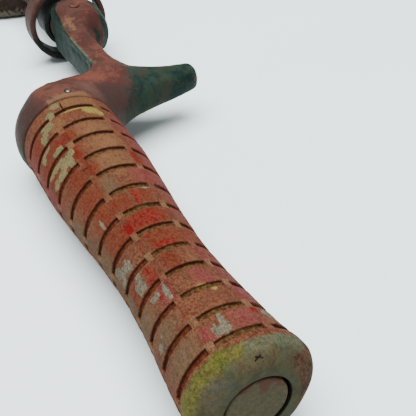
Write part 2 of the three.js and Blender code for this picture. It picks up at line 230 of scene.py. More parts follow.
class Shader:
    """A node material with short calls for the nodes used here."""

    def __init__(self, name):
        self.material = bpy.data.materials.new(name)
        self.material.use_nodes = True
        self.nodes = self.material.node_tree.nodes
        self.links = self.material.node_tree.links
        self.surface = self.nodes["Principled BSDF"]
        self.place = self.nodes.new("ShaderNodeTexCoord").outputs["Object"]

    def put(self, value, socket):
        if isinstance(value, bpy.types.NodeSocket):
            self.links.new(value, socket)
        elif isinstance(value, tuple) and len(value) == 3:
            socket.default_value = (*(TONE * v for v in value), 1)
        else:
            socket.default_value = value

    def stretched(self, x, y, z):
        """Object coordinates stretched by these factors."""
        node = self.nodes.new("ShaderNodeVectorMath")
        node.operation = "MULTIPLY"
        self.put(self.place, node.inputs[0])
        node.inputs[1].default_value = (x, y, z)
        return node.outputs[0]

    def noise(self, scale, detail=4.0, roughness=0.55, distortion=0.0, at=None):
        node = self.nodes.new("ShaderNodeTexNoise")
        self.put(at or self.place, node.inputs["Vector"])
        node.inputs["Scale"].default_value = scale
        node.inputs["Detail"].default_value = detail
        node.inputs["Roughness"].default_value = roughness
        node.inputs["Distortion"].default_value = distortion
        return node.outputs["Fac"]

    def field(self, name):
        node = self.nodes.new("ShaderNodeAttribute")
        node.attribute_name = name
        return node.outputs["Fac"]

    def math(self, operation, a, b):
        node = self.nodes.new("ShaderNodeMath")
        node.operation = operation
        self.put(a, node.inputs[0])
        self.put(b, node.inputs[1])
        return node.outputs[0]

    def step(self, value, low, high, bottom=0.0, top=1.0):
        """value from low to high as bottom to top, eased and held at both ends."""
        node = self.nodes.new("ShaderNodeMapRange")
        node.interpolation_type = "SMOOTHSTEP"
        for socket, number in zip(("From Min", "From Max", "To Min", "To Max"), (low, high, bottom, top)):
            node.inputs[socket].default_value = number
        self.put(value, node.inputs["Value"])
        return node.outputs["Result"]

    def mix(self, share, a, b, how="MIX"):
        node = self.nodes.new("ShaderNodeMix")
        node.data_type = "RGBA"
        node.blend_type = how
        node.clamp_factor = True
        self.put(share, node.inputs[0])
        self.put(a, node.inputs[6])
        self.put(b, node.inputs[7])
        return node.outputs[2]

    def scaled(self, colour, amount):
        """colour times a number."""
        node = self.nodes.new("ShaderNodeVectorMath")
        node.operation = "SCALE"
        self.put(colour, node.inputs[0])
        self.put(amount, node.inputs["Scale"])
        return node.outputs[0]

    def times(self, a, b):
        return self.math("MULTIPLY", a, b)

    def layers(self, colour, shake, rows):
        """colour with paints laid over it in turn, each a row of field, edge, level, spread and paint.
        A paint shows, with a ragged edge, where its field is over level after noise has shaken it."""
        for field, edge, level, spread, paint in rows:
            mask = self.field(field)
            shaken = self.math("ADD", mask, self.times(self.math("SUBTRACT", shake, 0.5), spread))
            colour = self.mix(self.step(shaken, level - edge, level + edge), colour, paint)
        return colour

    def bump(self, height, strength, distance, after=None):
        node = self.nodes.new("ShaderNodeBump")
        node.inputs["Strength"].default_value = strength
        node.inputs["Distance"].default_value = distance
        self.put(height, node.inputs["Height"])
        if after is not None:
            self.put(after, node.inputs["Normal"])
        return node.outputs["Normal"]

    def finish(self, colour, roughness, normal=None, metallic=0.0, specular=0.5):
        self.put(colour, self.surface.inputs["Base Color"])
        self.put(roughness, self.surface.inputs["Roughness"])
        self.surface.inputs["Metallic"].default_value = metallic
        self.surface.inputs["Specular IOR Level"].default_value = specular
        if normal is not None:
            self.put(normal, self.surface.inputs["Normal"])
        return self.material


def grip_material():
    """Worn layers of paint over pinkish tan wood, with a grey-green butt and an olive rim."""
    s = Shader("worn_grip")
    broad = s.noise(70, 3)
    medium = s.noise(330, 5, 0.65)
    fine = s.noise(1100, 4, 0.7)
    grain = s.noise(2300, 3, 0.65, 0.8, at=s.stretched(0.34, 1, 1))
    hatch = s.noise(1500, 3, 0.6, 1.5, at=s.stretched(0.55, 1, 1))
    dapple = s.math("ADD", s.times(medium, 0.55), s.times(fine, 0.45))

    wood = s.mix(s.step(dapple, 0.42, 0.58), (0.239, 0.087, 0.043), (0.428, 0.161, 0.084))
    colour = s.mix(s.step(hatch, 0.46, 0.58), wood, (0.384, 0.087, 0.048))
    pale = s.mix(s.step(fine, 0.4, 0.6), (0.412, 0.341, 0.157), (0.512, 0.440, 0.209))
    white = s.mix(s.step(fine, 0.4, 0.62), (0.322, 0.272, 0.194), (0.467, 0.434, 0.330))
    paints = [
        ("light", 0.42, 0.60, 1.9, (0.473, 0.213, 0.096)),
        ("brown", 0.30, 0.50, 0.8, (0.312, 0.175, 0.096)),
        ("pink", 0.30, 0.48, 1.4, (0.467, 0.089, 0.086)),
        ("red", 0.26, 0.48, 1.9, (0.350, 0.051, 0.022)),
        ("bright", 0.10, 0.46, 1.7, (0.428, 0.015, 0.014)),
        ("cream", 0.035, 0.50, 1.3, pale),
        ("yellow", 0.16, 0.50, 1.0, (0.734, 0.583, 0.128)),
        ("white", 0.06, 0.50, 1.7, white),
    ]
    colour = s.layers(colour, dapple, paints)
    bridge = s.step(s.field("bridge"), 0.3, 0.7)
    bridge = s.times(bridge, s.step(s.noise(120, 2), 0.40, 0.60, 0.1, 0.75))
    colour = s.mix(bridge, colour, (0.490, 0.267, 0.132))

    olive = s.mix(s.step(dapple, 0.42, 0.58), (0.175, 0.170, 0.034), (0.30, 0.300, 0.052))
    rim = s.mix(s.step(dapple, 0.38, 0.62), (0.159, 0.175, 0.097), (0.269, 0.289, 0.175))
    grey_green = s.mix(s.step(medium, 0.38, 0.62), (0.120, 0.112, 0.058), (0.185, 0.172, 0.092))
    butt_paints = [
        ("butt", 0.22, 0.5, 0.6, rim),
        ("olive", 0.16, 0.5, 0.8, olive),
        ("face", 0.40, 0.5, 0.7, grey_green),
    ]
    colour = s.layers(colour, dapple, butt_paints)
    # Painted sheen: pale bluish grey patches on the butt's face stand in for its highlights.
    bluish_sheen = s.times(s.field("face"), s.step(s.noise(150, 3, 0.6), 0.50, 0.62, 0.0, 0.7))
    colour = s.mix(bluish_sheen, colour, (0.150, 0.172, 0.140))
    worn_wood = s.mix(s.step(dapple, 0.42, 0.58), (0.105, 0.050, 0.026), (0.195, 0.086, 0.046))
    colour = s.layers(colour, medium, [("bare", 0.08, 0.5, 1.0, worn_wood)])

    speckle = s.step(s.noise(2400, 3, 0.7), 0.34, 0.66, 0.70, 1.26)
    speckle = s.times(speckle, s.step(fine, 0.3, 0.7, 0.88, 1.10))
    plain = s.math("MAXIMUM", s.field("face"), s.math("SUBTRACT", 0.75, s.field("grain")))
    even = s.step(plain, 0.2, 0.9, 0.0, 0.75)
    speckle = s.math("ADD", s.times(speckle, s.math("SUBTRACT", 1.0, even)), even)
    shade = s.times(s.step(broad, 0.3, 0.7, 0.90, 1.08), speckle)
    colour = s.scaled(colour, shade)
    lines = s.times(s.step(grain, 0.50, 0.60), s.step(s.field("land"), 0.1, 0.9, 0.10, 0.60))
    colour = s.mix(lines, colour, s.mix(1.0, colour, (0.50, 0.36, 0.30, 1), "MULTIPLY"))
    flecks = s.times(s.step(hatch, 0.40, 0.32), s.step(s.field("grain"), 0.1, 0.9, 0.10, 0.55))
    flecks = s.times(flecks, s.field("land"))
    colour = s.mix(flecks, colour, (0.46, 0.300, 0.150))
    edge = s.times(s.step(s.field("edge"), 0.25, 0.85), s.step(fine, 0.40, 0.58))
    colour = s.mix(s.times(edge, 0.6), colour, (0.38, 0.20, 0.10))

    maroon = s.mix(s.step(fine, 0.42, 0.62), (0.170, 0.030, 0.013), (0.290, 0.085, 0.032))
    rough_floor = s.mix(s.step(fine, 0.40, 0.60), (0.130, 0.044, 0.015), (0.300, 0.150, 0.055))
    # Painted shade: the slots' far walls are painted darker than the slot floors.
    shaded_far_wall = s.mix(s.step(fine, 0.42, 0.62), (0.090, 0.020, 0.010), (0.150, 0.040, 0.018))
    slot_floor = s.mix(s.field("upper"), maroon, rough_floor)
    slot_floor = s.mix(s.field("shaded_far_wall"), slot_floor, shaded_far_wall)
    colour = s.mix(s.step(s.field("depth"), 0.12, 0.55), colour, slot_floor)

    colour = s.mix(s.step(s.field("nick"), 0.25, 0.7), colour, (0.045, 0.030, 0.020))
    # Painted shade: the bore round the plug is painted near black, standing in for the dark gap.
    colour = s.mix(s.step(s.field("gap"), 0.3, 0.7), colour, (0.022, 0.018, 0.012))

    normal = s.bump(fine, 0.6, 0.00040)
    normal = s.bump(hatch, 0.8, 0.00050, normal)
    return s.finish(colour, s.step(medium, 0.3, 0.7, 0.70, 0.86), normal, specular=0.06)


def plug_material():
    s = Shader("worn_plug")
    medium = s.noise(260, 5, 0.65)
    fine = s.noise(1000, 4, 0.7)
    colour = s.mix(s.step(fine, 0.35, 0.65), (0.125, 0.104, 0.050), (0.185, 0.150, 0.080))
    stain = s.math("ADD", s.field("rim"), s.times(s.math("SUBTRACT", medium, 0.5), 2.6))
    colour = s.mix(s.step(stain, 0.42, 0.58), colour, (0.165, 0.062, 0.036))
    colour = s.mix(s.step(s.noise(190, 3, 0.6, 0.6), 0.60, 0.66, 0.0, 0.8), colour, (0.24, 0.165, 0.050))
    return s.finish(colour, 0.72, s.bump(fine, 0.5, 0.0004), specular=0.10)


def casting_material():
    """Brick red worn through to dark green, with bright scuffs along the edges, painted shade on the flanks
    and undersides, and a painted highlight along the neck's ridge.
    """
    s = Shader("worn_casting")
    medium = s.noise(190, 6, 0.66, 0.4)
    fine = s.noise(800, 5, 0.7)
    broad = s.noise(65, 4, 0.6)
    dapple = s.math("ADD", s.times(medium, 0.6), s.times(fine, 0.4))
    red = s.mix(s.step(broad, 0.38, 0.62), (0.170, 0.054, 0.045), (0.309, 0.105, 0.073))
    red = s.mix(s.step(dapple, 0.54, 0.64), red, (0.416, 0.165, 0.106))
    red = s.mix(s.step(dapple, 0.47, 0.40, 0.0, 0.85), red, (0.113, 0.068, 0.052))
    red = s.mix(s.step(s.noise(420, 4, 0.7), 0.58, 0.64, 0.0, 0.7), red, (0.095, 0.104, 0.071))
    # Painted shade: the bolster's flanks are painted darker than its top.
    painted_flank_shade = s.math("ADD", s.field("painted_flank_shade"), s.math("SUBTRACT", dapple, 0.5))
    red = s.mix(s.step(painted_flank_shade, 0.3, 0.8), red, (0.120, 0.060, 0.052))
    # Dark teal: the green paint under the red, also laid on the undersides and the bolster's lower left side
    # as painted shade.
    teal_paint_and_shade = s.mix(s.step(medium, 0.40, 0.62), (0.012, 0.040, 0.036), (0.042, 0.085, 0.056))
    teal_paint_and_shade = s.mix(s.step(broad, 0.46, 0.56, 0.0, 0.75), teal_paint_and_shade, (0.085, 0.080, 0.050))
    teal_paint_and_shade = s.mix(s.step(fine, 0.60, 0.72), teal_paint_and_shade, (0.110, 0.135, 0.075))
    streak = s.noise(420, 4, 0.6, 0.5, at=s.stretched(0.25, 1, 1))
    grey = s.mix(s.step(streak, 0.42, 0.60), (0.008, 0.032, 0.026), (0.036, 0.068, 0.045))
    ragged = s.math("ADD", s.times(broad, 0.45), s.times(dapple, 0.55))
    colour = s.layers(red, ragged, [("teal_paint_and_shade", 0.16, 0.5, 4.2, teal_paint_and_shade)])
    paints = [
        ("grey", 0.10, 0.5, 1.0, grey),
        ("scuff", 0.14, 0.5, 1.8, (0.425, 0.121, 0.074)),
        ("orange", 0.12, 0.5, 1.8, (0.425, 0.190, 0.099)),
        # Painted highlight: this pale paint is laid as a line along the neck's ridge.
        ("pale", 0.16, 0.5, 1.4, (0.218, 0.247, 0.151)),
    ]
    colour = s.layers(colour, dapple, paints)
    rub = s.times(s.step(s.field("edge"), 0.35, 0.95), s.step(fine, 0.42, 0.62))
    colour = s.mix(s.times(rub, 0.4), colour, (0.23, 0.215, 0.140))
    pits = s.step(s.noise(1300, 2, 0.5), 0.62, 0.70)
    colour = s.mix(s.times(pits, 0.5), colour, (0.04, 0.032, 0.026))
    normal = s.bump(medium, 0.4, 0.0007)
    normal = s.bump(fine, 0.35, 0.00030, normal)
    return s.finish(colour, s.step(medium, 0.3, 0.7, 0.48, 0.66), normal, specular=0.06)


def ring_material():
    s = Shader("worn_ring")
    medium = s.noise(240, 5, 0.65)
    fine = s.noise(900, 4, 0.7)
    colour = s.mix(s.step(medium, 0.38, 0.62), (0.140, 0.062, 0.048), (0.215, 0.110, 0.088))
    # Painted shade: the ring's lower part and its inner wall are painted near black.
    colour = s.layers(colour, medium, [("dark", 0.14, 0.5, 0.8, (0.030, 0.036, 0.032))])
    colour = s.mix(s.step(fine, 0.58, 0.70), colour, (0.125, 0.090, 0.070))
    return s.finish(colour, s.step(medium, 0.3, 0.7, 0.40, 0.60), s.bump(fine, 0.4, 0.0003), specular=0.06)


def iron_material():
    """Dark rust-brown casting."""
    s = Shader("rusty_iron")
    medium = s.noise(150, 6, 0.62)
    fine = s.noise(800, 5, 0.65)
    colour = s.mix(s.step(medium, 0.35, 0.62), (0.039, 0.026, 0.019), (0.093, 0.054, 0.039))
    colour = s.mix(s.step(fine, 0.56, 0.70), colour, (0.195, 0.090, 0.048))
    colour = s.layers(colour, fine, [("edge", 0.2, 0.5, 0.6, (0.240, 0.188, 0.150))])
    normal = s.bump(medium, 0.4, 0.0010)
    normal = s.bump(fine, 0.45, 0.0004, normal)
    return s.finish(colour, s.step(medium, 0.3, 0.7, 0.55, 0.78), normal, specular=0.08)


def steel_material(name, dark, light, rust, roughness, metallic=0.85):
    """Steel with turning marks round X and some rust."""
    s = Shader(name)
    fine = s.noise(900, 5, 0.62)
    marks = s.noise(1800, 2, 0.5, at=s.stretched(1, 0.04, 0.04))
    colour = s.mix(s.step(fine, 0.35, 0.65), dark, light)
    colour = s.mix(s.step(s.noise(260, 5, 0.65), 0.50, 0.64), colour, rust)
    normal = s.bump(marks, 0.25, 0.0001)
    normal = s.bump(fine, 0.25, 0.0002, normal)
    return s.finish(colour, s.step(fine, 0.3, 0.7, roughness - 0.08, roughness + 0.1), normal, metallic)


# ---- the grip ----

SLOT_ROWS = 13
SLOT_PITCH = 9.37
FIRST_SLOT = 9.1
SLOT_HALF_WIDTH = 1.05
SLOT_DEPTH = 0.95
SLOT_BRIDGES = [2, 64.3, 120.2, 181, 241, 302]
BRIDGE_HALF_ARC = 4
GRIP_LENGTH = 128
TENON_LENGTH = 8
# The grip's outline, as (mm from the butt, radius).
GRIP_RADII = [(5, 16.6), (17, 15.7), (34, 14.1), (51, 13.4), (68, 14.3), (85, 15.9), (102, 17.2)]
GRIP_RADII += [(GRIP_LENGTH, 17.1)]
BUTT_ROUND = [(0, 12.2), (0.22, 13.2), (0.75, 14.1), (1.5, 14.9), (2.4, 15.6), (3.5, 16.15), (4.5, 16.5)]
BUTT_STATIONS = 22
CRACK_ANGLE = 80.5
CRACK_FROM = 121.6
CRACK_TO = 127.4
# Short nicks in the surface, each from one (mm from the butt, degrees) to another.
NICKS = [((1.75, 96.5), (1.2, 90.0)), ((1.8, 91.5), (1.2, 98.0)), ((90.1, 58.5), (89.6, 65.5))]
NICK_HALF_WIDTH = 0.17
RIM_NICK_ANGLE = 94
BRIDGE_NICK_ANGLE = SLOT_BRIDGES[1]
BRIDGE_NICK_X = 89.8

# How far across a slot's wall each station is, in mm, and how much of the full depth it has.
SLOT_WALL = [(0.42, 0.0), (0.16, 0.03), (0.05, 0.12), (0.0, 0.30), (-0.05, 0.80), (-0.18, 0.97), (-0.5, 1.0)]


def slot_stations(middle):
    """Stations over one slot: (place, share of full depth)."""
    low = [(middle - SLOT_HALF_WIDTH - offset, share) for offset, share in SLOT_WALL]
    high = [(middle + SLOT_HALF_WIDTH + offset, share) for offset, share in reversed(SLOT_WALL)]
    return low + [(middle, 1.0)] + high


def axial_stations():
    """(x, slot share) along the grip, closer at the slots and at the nick on a bridge."""
    out = []
    for row in range(SLOT_ROWS):
        stations = slot_stations(FIRST_SLOT + row * SLOT_PITCH)
        if out:
            start, end = out[-1][0], stations[0][0]
            out += [(start + (end - start) * i / 8, 0.0) for i in range(1, 8)]
        else:
            out = [(x, 0.0) for x in (4.6, 5.4, 6.2, 6.9)]
        out += stations
    start = out[-1][0]
    end = GRIP_LENGTH - 0.15
    nick = [(x, 0.0) for x in np.arange(BRIDGE_NICK_X - 0.8, BRIDGE_NICK_X + 0.9, 0.2)]
    out = sorted([s for s in out if abs(s[0] - BRIDGE_NICK_X) > 0.9] + nick)
    return out + [(start + (end - start) * i / 7, 0.0) for i in range(1, 8)]


def angular_stations():
    """(angle in degrees, slot share) round the grip, closer at the bridges, crack and nicks."""
    out = []
    degrees_per_mm = math.degrees(1 / 16)
    for column, bridge in enumerate(SLOT_BRIDGES):
        following = SLOT_BRIDGES[column + 1] if column + 1 < len(SLOT_BRIDGES) else SLOT_BRIDGES[0] + 360
        start = bridge + BRIDGE_HALF_ARC
        end = following - BRIDGE_HALF_ARC
        out.append((bridge, 0.0))
        out += [(start - offset * degrees_per_mm, share) for offset, share in SLOT_WALL]
        inner_start = start + 2.4
        inner_end = end - 2.4
        steps = 26
        out += [(inner_start + (inner_end - inner_start) * i / steps, 1.0) for i in range(steps + 1)]
        out += [(end + offset * degrees_per_mm, share) for offset, share in reversed(SLOT_WALL)]
    crack = [(CRACK_ANGLE + offset, 1.0) for offset in (-1.2, -0.7, -0.35, 0.0, 0.35, 0.7, 1.2)]
    rim_nick = [(angle, 1.0) for angle in np.arange(RIM_NICK_ANGLE - 6, RIM_NICK_ANGLE + 6.1, 0.7)]
    bridge_nick = [(BRIDGE_NICK_ANGLE + offset, 0.0) for offset in np.arange(-2.5, 2.6, 0.6)]
    closer = ((CRACK_ANGLE, 1.5), (RIM_NICK_ANGLE, 6.6), (BRIDGE_NICK_ANGLE, 2.5))
    kept = [(a, share) for a, share in out if all(abs(a - middle) > half for middle, half in closer)]
    return sorted(kept + crack + rim_nick + bridge_nick)



def nick_depth(x, angle, radius):
    """1 along the middle of each nick, falling to 0 beside it."""
    out = np.zeros_like(x)
    for (x0, a0), (x1, a1) in NICKS:
        arc = np.radians(angle - a0) * radius
        dx, da = x1 - x0, np.radians(a1 - a0) * radius
        t = np.clip(((x - x0) * dx + arc * da) / (dx * dx + da * da), 0, 1)
        gap = np.hypot(x - x0 - t * dx, arc - t * da)
        out = np.maximum(out, np.exp(-((gap / NICK_HALF_WIDTH) ** 2)))
    return out


def grip_radius(x):
    xs, radii = zip(*GRIP_RADII)
    fine = np.linspace(xs[0], xs[-1], 400)
    rough = np.interp(fine, xs, radii)
    kernel = np.hanning(41)
    padded = np.pad(rough, 20, mode="edge")
    smooth = np.convolve(padded, kernel / kernel.sum(), mode="valid")
    return np.interp(x, fine, smooth)


def nearness(x, angle, patches):
    """1 in the middle of any patch, 0.5 on its outline and 0 beyond twice its size."""
    out = np.zeros_like(x)
    for px, pa, rx, ra in patches:
        turn = (angle - pa + 180) % 360 - 180
        out = np.maximum(out, 1 - np.sqrt(((x - px) / rx) ** 2 + (turn / ra) ** 2) * 0.5)
    return np.clip(out, 0, 1)


def make_grip():
    axial = axial_stations()
    around = angular_stations()
    columns = len(around)
    turns = np.array([a for a, _ in around])
    across = np.array([share for _, share in around])
    # the outside, from the butt face to the bolster
    body = [(x * x, 0.0) for x in np.linspace(0, math.sqrt(3.9), BUTT_STATIONS)] + axial
    xs, shares = np.array(body).T
    rounding = np.interp(np.sqrt(xs), [math.sqrt(x) for x, _ in BUTT_ROUND], [r for _, r in BUTT_ROUND])
    base = np.where(xs < 4, rounding, grip_radius(xs))
    grid_x, grid_a = np.meshgrid(xs, turns, indexing="ij")
    base_grid = np.repeat(base[:, None], columns, axis=1)
    depth = np.minimum(shares[:, None], across[None, :])
    samples = np.stack(
        [grid_x * 0.05, np.cos(np.radians(grid_a)) * 0.8, np.sin(np.radians(grid_a)) * 0.8], axis=-1
    ).reshape(-1, 3)
    sway = noise_at(samples, 1.6, 3.0).reshape(grid_x.shape)
    swell = noise_at(samples, 1.1, 8.0).reshape(grid_x.shape)
    rough = noise_at(samples, 14.0, 5.0).reshape(grid_x.shape)
    crack = np.exp(-(((grid_a - CRACK_ANGLE - 0.8 * np.sin(grid_x)) / 0.5) ** 2))
    crack *= smoothstep(CRACK_FROM - 0.4, CRACK_FROM + 0.3, grid_x)
    crack *= 1 - smoothstep(CRACK_TO - 0.5, CRACK_TO, grid_x)
    land = smoothstep(2, 8, grid_x) * (1 - smoothstep(124, 128, grid_x))
    near_butt = 1 - smoothstep(5, 15, grid_x)
    bulge = 1.1 * np.exp(-(((grid_a - 163) / 36) ** 2)) - 1.0 * np.exp(-(((grid_a - 228) / 30) ** 2))
    base_grid = base_grid + bulge * near_butt * smoothstep(0.0, 1.5, grid_x)
    nick = nick_depth(grid_x, grid_a, base_grid)
    radius = base_grid - 0.12 - 0.10 * np.abs(swell) * land - 0.05 * rough * (1 - depth) * land
    radius -= depth * (SLOT_DEPTH + 0.25 * rough) + 0.9 * crack + 0.4 * nick
    place = grid_x + 0.28 * sway * land
    turn = np.radians(grid_a + 1.1 * swell * land)
    y = radius * np.cos(turn)
    z = radius * np.sin(turn)
    outside = np.stack([place, y, z], axis=-1)

    def ring(x, r):
        t = np.radians(turns)
        return np.stack([np.full(columns, x), r * np.cos(t), r * np.sin(t)], axis=-1)[None]

    rim = GRIP_LENGTH
    tail = rim + TENON_LENGTH
    far = [ring(rim, 16.7), ring(rim, 14.4), ring(tail - 0.5, 14.4), ring(tail, 13.9), ring(tail, 4.3)]
    near = [ring(17.2, 4.3), ring(17.2, 9.0), ring(0.7, 9.0), ring(0.12, 9.05), ring(0, 9.25), ring(0, 10.8)]
    grid = np.concatenate([outside] + far + near, axis=0)
    rows = grid.shape[0]
    points = grid.reshape(-1, 3) * MM + BUTT_MIDDLE
    grip = make_object("slotted_grip", points, grid_faces(rows, columns, rows_close=True))
    face_outwards(grip)
    sharpen(grip, 60)

    flat = grid.reshape(-1, 3)
    x = flat[:, 0]
    angle = np.degrees(np.arctan2(flat[:, 2], flat[:, 1])) % 360
    reach = np.hypot(flat[:, 1], flat[:, 2])
    on_outside = np.arange(len(flat)) < outside.shape[0] * columns

    def spread_out(values, elsewhere=0.0):
        """A value for every point: these on the outside, and elsewhere on the rest."""
        out = np.full(len(flat), elsewhere)
        out[on_outside] = values.ravel()
        return out

    full_depth = spread_out(np.clip(depth + crack, 0, 1), 1.0)
    face = (reach <= 12.3) & (x < 0.5)
    full_depth[face & (reach > 9.2)] = 0.0
    store(grip, "depth", full_depth)
    row = (x - FIRST_SLOT + SLOT_PITCH / 2) % SLOT_PITCH - SLOT_PITCH / 2
    in_bore = (reach < 9.2) & ~on_outside
    # The slots' far walls are marked here to be painted darker, as painted shade.
    store(grip, "shaded_far_wall", np.where(on_outside, smoothstep(0.80, 1.0, row), 1.0))
    # The bore round the plug is marked to be painted near black, as painted shade in the gap.
    store(grip, "gap", in_bore)
    store(grip, "nick", spread_out(nick))
    edge_row = np.exp(-(((shares - 0.06) / 0.08) ** 2))[:, None] * (across > 0.5)[None, :]
    store(grip, "edge", spread_out(edge_row))
    for name, patches in GRIP_PATCHES.items():
        store(grip, name, nearness(x, angle, patches) * on_outside)
    beside = np.min([np.abs((angle - bridge + 180) % 360 - 180) for bridge in SLOT_BRIDGES], axis=0)
    bridge = smoothstep(5.0, 3.6, beside) * smoothstep(2.2, 1.2, np.abs(row)) * (x > 5)
    store(grip, "bridge", bridge * on_outside)
    store(grip, "upper", smoothstep(60, 66, angle) * (1 - smoothstep(150, 185, angle)))
    store(grip, "grain", 1 - smoothstep(20, 75, x))
    store(grip, "land", smoothstep(3.0, 8.0, x))
    store(grip, "butt", 1 - smoothstep(4.0, 7.5, x))
    leftward = smoothstep(75, 30, np.abs((angle - 35 + 180) % 360 - 180))
    store(grip, "olive", np.exp(-(((x - 4.4) / 3.2) ** 2)) * leftward)
    store(grip, "face", 1 - smoothstep(0.6, 4.4, x))
    return grip


# Paint patches on the grip: (mm from the butt, degrees from +Y towards +Z, half length, half arc).
GRIP_PATCHES = {
    "light": [
        (87, 95, 6, 24), (97, 98, 5, 22), (107, 98, 5, 22), (125, 95, 4, 30), (116, 62, 4, 12),
        (92, 200, 30, 40), (30, 230, 14, 40),
    ],
    "brown": [
        (13, 38, 4, 20), (23, 36, 4, 16), (32, 18, 5, 18), (42, 10, 8, 12), (60, 8, 12, 14),
        (78, 6, 10, 12), (78, 74, 4, 10), (8, 168, 8, 16), (60, 260, 40, 30),
    ],
    "pink": [
        (106, 6, 11, 20), (98, 146, 22, 16), (85, 132, 11, 14), (79, 112, 4, 9), (13, 106, 4.5, 13),
        (32, 100, 5, 10), (117, 14, 7, 16), (96, 10, 6, 11), (70, 150, 14, 20), (108, 140, 12, 16),
        (25, 128, 8, 10), (12, 70, 3, 6), (40, 130, 9, 12), (33, 56, 4, 10), (104, 250, 16, 40),
        (40, 300, 20, 30),
    ],
    "red": [
        (41, 82, 4.6, 9), (51, 94, 4.6, 22), (60, 90, 4.4, 27), (60, 44, 4.4, 16), (69, 76, 4, 10),
        (69, 48, 4.4, 14), (79, 46, 4.4, 15), (88, 48, 4.4, 14), (97, 67, 4.6, 7), (97, 22, 4, 12),
        (107, 40, 4.6, 24), (108, 70, 4.4, 6), (116, 32, 4, 14), (41, 24, 4.2, 7), (88, 70, 4, 6),
        (70, 104, 3, 8), (88, 124, 6, 6), (50, 135, 8, 10),
    ],
    "bright": [
        (62, 92, 2, 10), (48.4, 88, 1.5, 13), (60.3, 82, 3, 21), (58, 64, 1.8, 8), (41, 54, 3.2, 6),
        (69.5, 92.5, 3.4, 4), (107, 56, 2, 5), (54, 78, 1.2, 5), (16, 121, 1.6, 3), (32.6, 52, 0.9, 5),
    ],
    "cream": [
        (126, 74, 1.6, 5), (122.5, 64, 2.4, 5), (118.8, 54, 2.6, 8), (116, 45, 1.8, 7), (97, 55, 3.4, 4.5),
        (98.4, 47, 3, 6), (95.8, 38, 1.6, 10), (96.3, 25, 1.4, 7), (100.2, 38, 1.3, 8), (101.2, 27, 1.5, 7),
        (100, 61, 1.4, 4), (104.8, 50, 1.6, 8), (110.6, 38, 1.3, 8), (108.6, 29, 1.8, 4.5),
        (113.6, 44, 2.4, 4),
    ],
    "yellow": [
        (118, 108, 2.4, 10), (120.4, 92, 0.8, 14), (116.5, 116, 2.2, 4), (26, 101, 0.8, 3),
        (28.5, 92, 0.6, 5),
    ],
    "white": [
        (11.6, 84, 1.7, 6), (14.6, 85.5, 2.2, 3.4), (16.5, 86, 1, 2), (12.4, 77, 2.2, 3),
        (42, 41, 3.2, 4.5), (41, 35, 2.2, 5), (50.2, 38, 2.2, 5.5), (50.8, 28, 1.8, 8), (53, 19, 2, 7),
        (48.5, 18, 1.2, 6), (33, 60, 3.2, 3), (34, 47, 1.2, 7), (24.2, 30, 0.9, 2), (22, 22, 1.6, 5),
        (15, 134, 1.5, 7), (73.2, 108, 0.6, 7), (68, 41, 2.4, 2.4), (20.5, 169, 3.5, 4),
    ],
    "bare": [
        (1.4, 182, 2.6, 36), (4, 152, 1.2, 7), (0.8, 140, 0.8, 9),
    ],
}


# ---- the butt plug ----


def make_plug():
    start = PLUG_LOW.x
    end = PLUG_HIGH.x
    radius = (PLUG_HIGH.z - PLUG_LOW.z) / 2 - 0.30 * MM
    half = radius * 0.5
    profile = [(start, 0), (start, half), (start, radius), (end, radius), (end, half), (end, 0)]
    plug = revolve("butt_plug_face", rounded(profile, 0.7 * MM, 5), GRIP_AXIS, 120)
    place = positions(plug)
    reach = np.hypot(place[:, 1] - GRIP_AXIS.y, place[:, 2] - GRIP_AXIS.z) / radius
    across = (GRIP_AXIS.y - place[:, 1]) / radius
    upward = (place[:, 2] - GRIP_AXIS.z) / radius
    stained = smoothstep(0.35, 0.80, reach) * smoothstep(-0.2, 0.5, 0.7 * across + 0.7 * upward)
    store(plug, "rim", 0.05 + 0.46 * stained)
    return plug


# ---- the cranked handle casting ----


def in_mm(obj):
    """Each point's x from the butt, y and z from the grip's axis, in mm."""
    return (positions(obj) - BUTT_MIDDLE) / MM


def edge_wear(obj, rounds=4):
    """How far each point stands proud of its neighbours, from 0 on flats to 1 on sharp ridges."""
    rest = positions(obj)
    facing = normals(obj)
    relax(obj, rounds)
    moved = positions(obj)
    move_to(obj, rest)
    proud = np.einsum("ij,ij->i", rest - moved, facing)
    return smoothstep(0.0, np.percentile(proud, 98), proud)


NECK_START = 146
NECK_END = 208
NECK_LEFT = -21.4
NECK_WIDTH = 9.4
NECK_TOP = 7.0
NECK_FOOT = -8.0
HUB_FOOT = -8.4
# The hub and the bolster, turned about the screw's axis and the grip's: (x, radius), closed inside.
HUB_END = 215.9
HUB_OUTLINE = [
    (196, -9), (199.5, 3), (201, 8.5), (204, 12.3), (207, 13.3), (209.5, 12.9), (211.5, 13.4), (213, 13.9),
    (215, 13.9), (HUB_END, 12.9), (HUB_END, -9),
]
CASTING_START = 128.35
BOLSTER_OUTLINE = [
    (CASTING_START, -9), (CASTING_START, 16.9), (129.4, 17.45), (131.5, 17.85), (133.5, 18.0), (136, 17.9),
    (139, 17.3), (142, 16.0), (145, 13.9), (148, 10.8), (150, 8.0), (151.4, 4.0), (151.9, 0), (151.9, -9),
]
